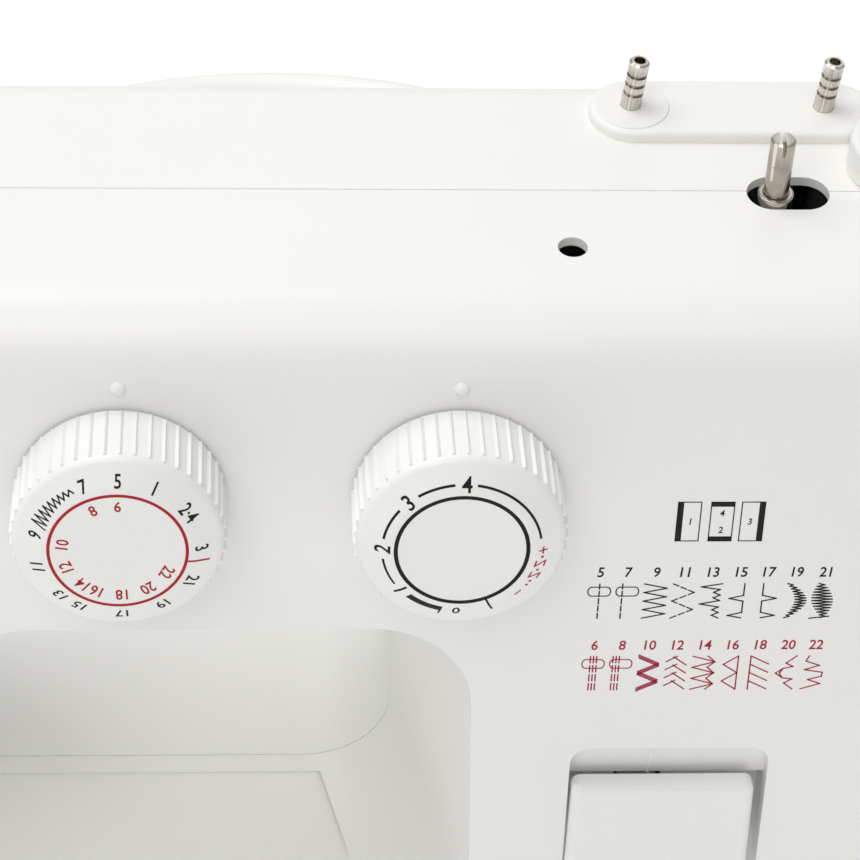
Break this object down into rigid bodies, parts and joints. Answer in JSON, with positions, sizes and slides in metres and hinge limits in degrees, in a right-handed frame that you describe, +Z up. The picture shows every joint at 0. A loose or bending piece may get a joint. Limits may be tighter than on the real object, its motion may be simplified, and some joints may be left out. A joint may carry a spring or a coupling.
{
  "type": "sewing machine",
  "caption": "Free-standing domestic sewing machine with front pattern and stitch length dials, reverse lever, top bobbin winder, spool pins and carry handle.",
  "frame": {"origin": "on the table, under the middle of the machine's bounding box", "axes": "+X to the user's right along the arm, +Y to the back, +Z up"},
  "size_m": [0.373, 0.1628, 0.2886],
  "materials": {
    "white_case": "satin moulded white plastic",
    "white_dial": "smooth moulded white plastic",
    "white_inner": "matt white plastic",
    "nickel": "bright nickel plate",
    "steel": "ground steel",
    "cast_alloy": "as-cast aluminium",
    "bronze": "sintered bronze",
    "black_plastic": "matt black plastic",
    "rubber": "black rubber",
    "zinc_sheet": "grey painted sheet steel",
    "print_black": "black pad-printed ink",
    "print_red": "crimson pad-printed ink",
    "lamp_glass": "frosted glass bulb with a metal cap"
  },
  "bodies": {
    "machine": {"front_casing": "white_case", "rear_casing": "white_case", "face_cover": "white_case", "case_screws": "steel", "base_plate": "zinc_sheet", "rubber_feet": "rubber", "machine_frame": "cast_alloy", "bushes": "bronze", "spool_pin_cap": "white_case", "winder_stop": "white_case", "adjusting_screw": "steel", "pivot_pins": "steel", "motor": "black_plastic", "timing_belt": "rubber", "motor_belt": "rubber", "shuttle_race": "cast_alloy", "bobbin_case": "steel", "needle_plate": "nickel", "shuttle_cover": "white_inner", "tension_discs": "nickel", "thread_guide": "nickel", "power_inlet": "black_plastic", "lamp": "lamp_glass", "reverse_spring": "steel", "presser_spring": "steel"},
    "pattern_dial": {"pattern_dial": "white_dial", "pattern_shaft": "white_inner"},
    "length_dial": {"length_dial": "white_dial", "length_shaft": "white_inner"},
    "reverse_lever": {"reverse_lever": "white_dial"},
    "spool_pin_left": {"spool_pin_left": "nickel"},
    "spool_pin_right": {"spool_pin_right": "nickel"},
    "winder_lever": {"winder_lever": "white_inner"},
    "winder_spindle": {"winder_spindle": "nickel", "winder_tyre": "rubber"},
    "carry_handle": {"carry_handle": "white_case"},
    "handwheel": {"handwheel": "white_dial", "main_shaft": "steel", "needle_crank": "steel", "upper_pulley": "black_plastic"},
    "clutch_knob": {"clutch_knob": "white_dial"},
    "connecting_rod": {"connecting_rod": "cast_alloy"},
    "lower_shaft": {"lower_shaft": "steel", "lower_pulley": "black_plastic"},
    "hook": {"hook": "steel"},
    "bobbin": {"bobbin": "white_inner"},
    "motor_pulley": {"motor_pulley": "steel"},
    "needle_bar": {"needle_bar": "steel", "needle_clamp": "nickel", "needle": "nickel"},
    "presser_bar": {"presser_bar": "steel", "foot_holder": "nickel"},
    "presser_foot": {"presser_foot": "nickel"},
    "lifter_lever": {"lifter_lever": "black_plastic"},
    "take_up_lever": {"take_up_lever": "nickel"},
    "tension_dial": {"tension_dial": "white_dial"},
    "feed_dogs": {"feed_dogs": "steel"},
    "accessory_box": {"accessory_box": "white_case"},
    "box_lid": {"box_lid": "white_case"},
    "power_switch": {"power_switch": "black_plastic"}
  },
  "joints": [
    {"name": "pattern_dial_turn", "type": "hinge", "parent": "machine", "child": "pattern_dial", "pos_m": [-0.0465, -0.0513, 0.224], "axis": [0, -0.991, 0.134], "continuous": true},
    {"name": "length_dial_turn", "type": "hinge", "parent": "machine", "child": "length_dial", "pos_m": [0.032, -0.0513, 0.224], "axis": [0, -0.991, 0.134], "range_deg": [-177, 140]},
    {"name": "reverse_press", "type": "hinge", "parent": "machine", "child": "reverse_lever", "pos_m": [0.084, -0.0293, 0.118], "axis": [1, 0, 0], "range_deg": [0, 11], "stiffness_Nm_per_rad": 0.8, "springref_deg": -5.73},
    {"name": "left_pin_lift", "type": "slide", "parent": "machine", "child": "spool_pin_left", "axis": [0.0872, 0, 0.9962], "range_m": [0, 0.04]},
    {"name": "right_pin_lift", "type": "slide", "parent": "machine", "child": "spool_pin_right", "axis": [0.0872, 0, 0.9962], "range_m": [0, 0.04]},
    {"name": "winder_swing", "type": "hinge", "parent": "machine", "child": "winder_lever", "pos_m": [0.114, 0.0387, 0.2585], "axis": [0, 0, 1], "range_deg": [0, 11]},
    {"name": "winder_spin", "type": "hinge", "parent": "winder_lever", "child": "winder_spindle", "pos_m": [0.108, 0.0007, 0.275], "axis": [0, 0, 1], "continuous": true},
    {"name": "handle_swing", "type": "hinge", "parent": "machine", "child": "carry_handle", "pos_m": [-0.0093, 0.0552, 0.2485], "axis": [1, 0, 0], "range_deg": [0, 98]},
    {"name": "handwheel_turn", "type": "hinge", "parent": "machine", "child": "handwheel", "pos_m": [0.175, -0.0153, 0.232], "axis": [1, 0, 0], "continuous": true},
    {"name": "clutch_loosen", "type": "hinge", "parent": "handwheel", "child": "clutch_knob", "pos_m": [0.182, -0.0153, 0.232], "axis": [1, 0, 0], "range_deg": [0, 90]},
    {"name": "rod_crank", "type": "hinge", "parent": "handwheel", "child": "connecting_rod", "pos_m": [-0.124, -0.0153, 0.245], "axis": [1, 0, 0], "continuous": true},
    {"name": "lower_shaft_turn", "type": "hinge", "parent": "machine", "child": "lower_shaft", "pos_m": [0, 0.0047, 0.04], "axis": [1, 0, 0], "continuous": true},
    {"name": "hook_turn", "type": "hinge", "parent": "machine", "child": "hook", "pos_m": [-0.1295, -0.0293, 0.04], "axis": [0, 1, 0], "continuous": true},
    {"name": "bobbin_turn", "type": "hinge", "parent": "machine", "child": "bobbin", "pos_m": [-0.1295, -0.0293, 0.04], "axis": [0, 1, 0], "continuous": true},
    {"name": "motor_turn", "type": "hinge", "parent": "machine", "child": "motor_pulley", "pos_m": [0.15, 0.0267, 0.062], "axis": [1, 0, 0], "continuous": true},
    {"name": "needle_bar_stroke", "type": "slide", "parent": "machine", "child": "needle_bar", "axis": [0, 0, -1], "range_m": [0, 0.03]},
    {"name": "presser_lift", "type": "slide", "parent": "machine", "child": "presser_bar", "axis": [0, 0, 1], "range_m": [0, 0.006], "stiffness_N_per_m": 300, "springref_m": -0.012, "deforming": ["presser_spring"]},
    {"name": "foot_tilt", "type": "hinge", "parent": "presser_bar", "child": "presser_foot", "pos_m": [-0.1295, -0.0073, 0.076], "axis": [1, 0, 0], "range_deg": [-1.5, 1.5]},
    {"name": "lifter_raise", "type": "hinge", "parent": "machine", "child": "lifter_lever", "pos_m": [-0.114, 0.0287, 0.15], "axis": [0, -1, 0], "range_deg": [0, 35]},
    {"name": "take_up_swing", "type": "hinge", "parent": "machine", "child": "take_up_lever", "pos_m": [-0.106, -0.0293, 0.203], "axis": [1, 0, 0], "range_deg": [0, 45]},
    {"name": "tension_turn", "type": "hinge", "parent": "machine", "child": "tension_dial", "pos_m": [-0.15, -0.0521, 0.21805], "axis": [0, -0.991, 0.134], "range_deg": [-150, 150]},
    {"name": "feed_stroke", "type": "slide", "parent": "machine", "child": "feed_dogs", "axis": [0, 1, 0], "range_m": [-0.002, 0.002]},
    {"name": "box_pull", "type": "slide", "parent": "machine", "child": "accessory_box", "axis": [-1, 0, 0], "range_m": [0, 0.2]},
    {"name": "lid_open", "type": "hinge", "parent": "accessory_box", "child": "box_lid", "pos_m": [-0.09, -0.0449, 0.0664], "axis": [-1, 0, 0], "range_deg": [0, 95]},
    {"name": "power_rock", "type": "hinge", "parent": "machine", "child": "power_switch", "pos_m": [0.1605, 0.0207, 0.096], "axis": [0, 1, 0], "range_deg": [-6, 6]}
  ],
  "couplings": [
    {"joint": "rod_crank", "follows": "handwheel_turn", "ratio": -1},
    {"joint": "lower_shaft_turn", "follows": "handwheel_turn", "ratio": 1},
    {"joint": "hook_turn", "follows": "handwheel_turn", "ratio": 2},
    {"joint": "motor_turn", "follows": "handwheel_turn", "ratio": 3.8571},
    {"joint": "lifter_raise", "follows": "presser_lift", "rad_per_m": 101.81}
  ]
}
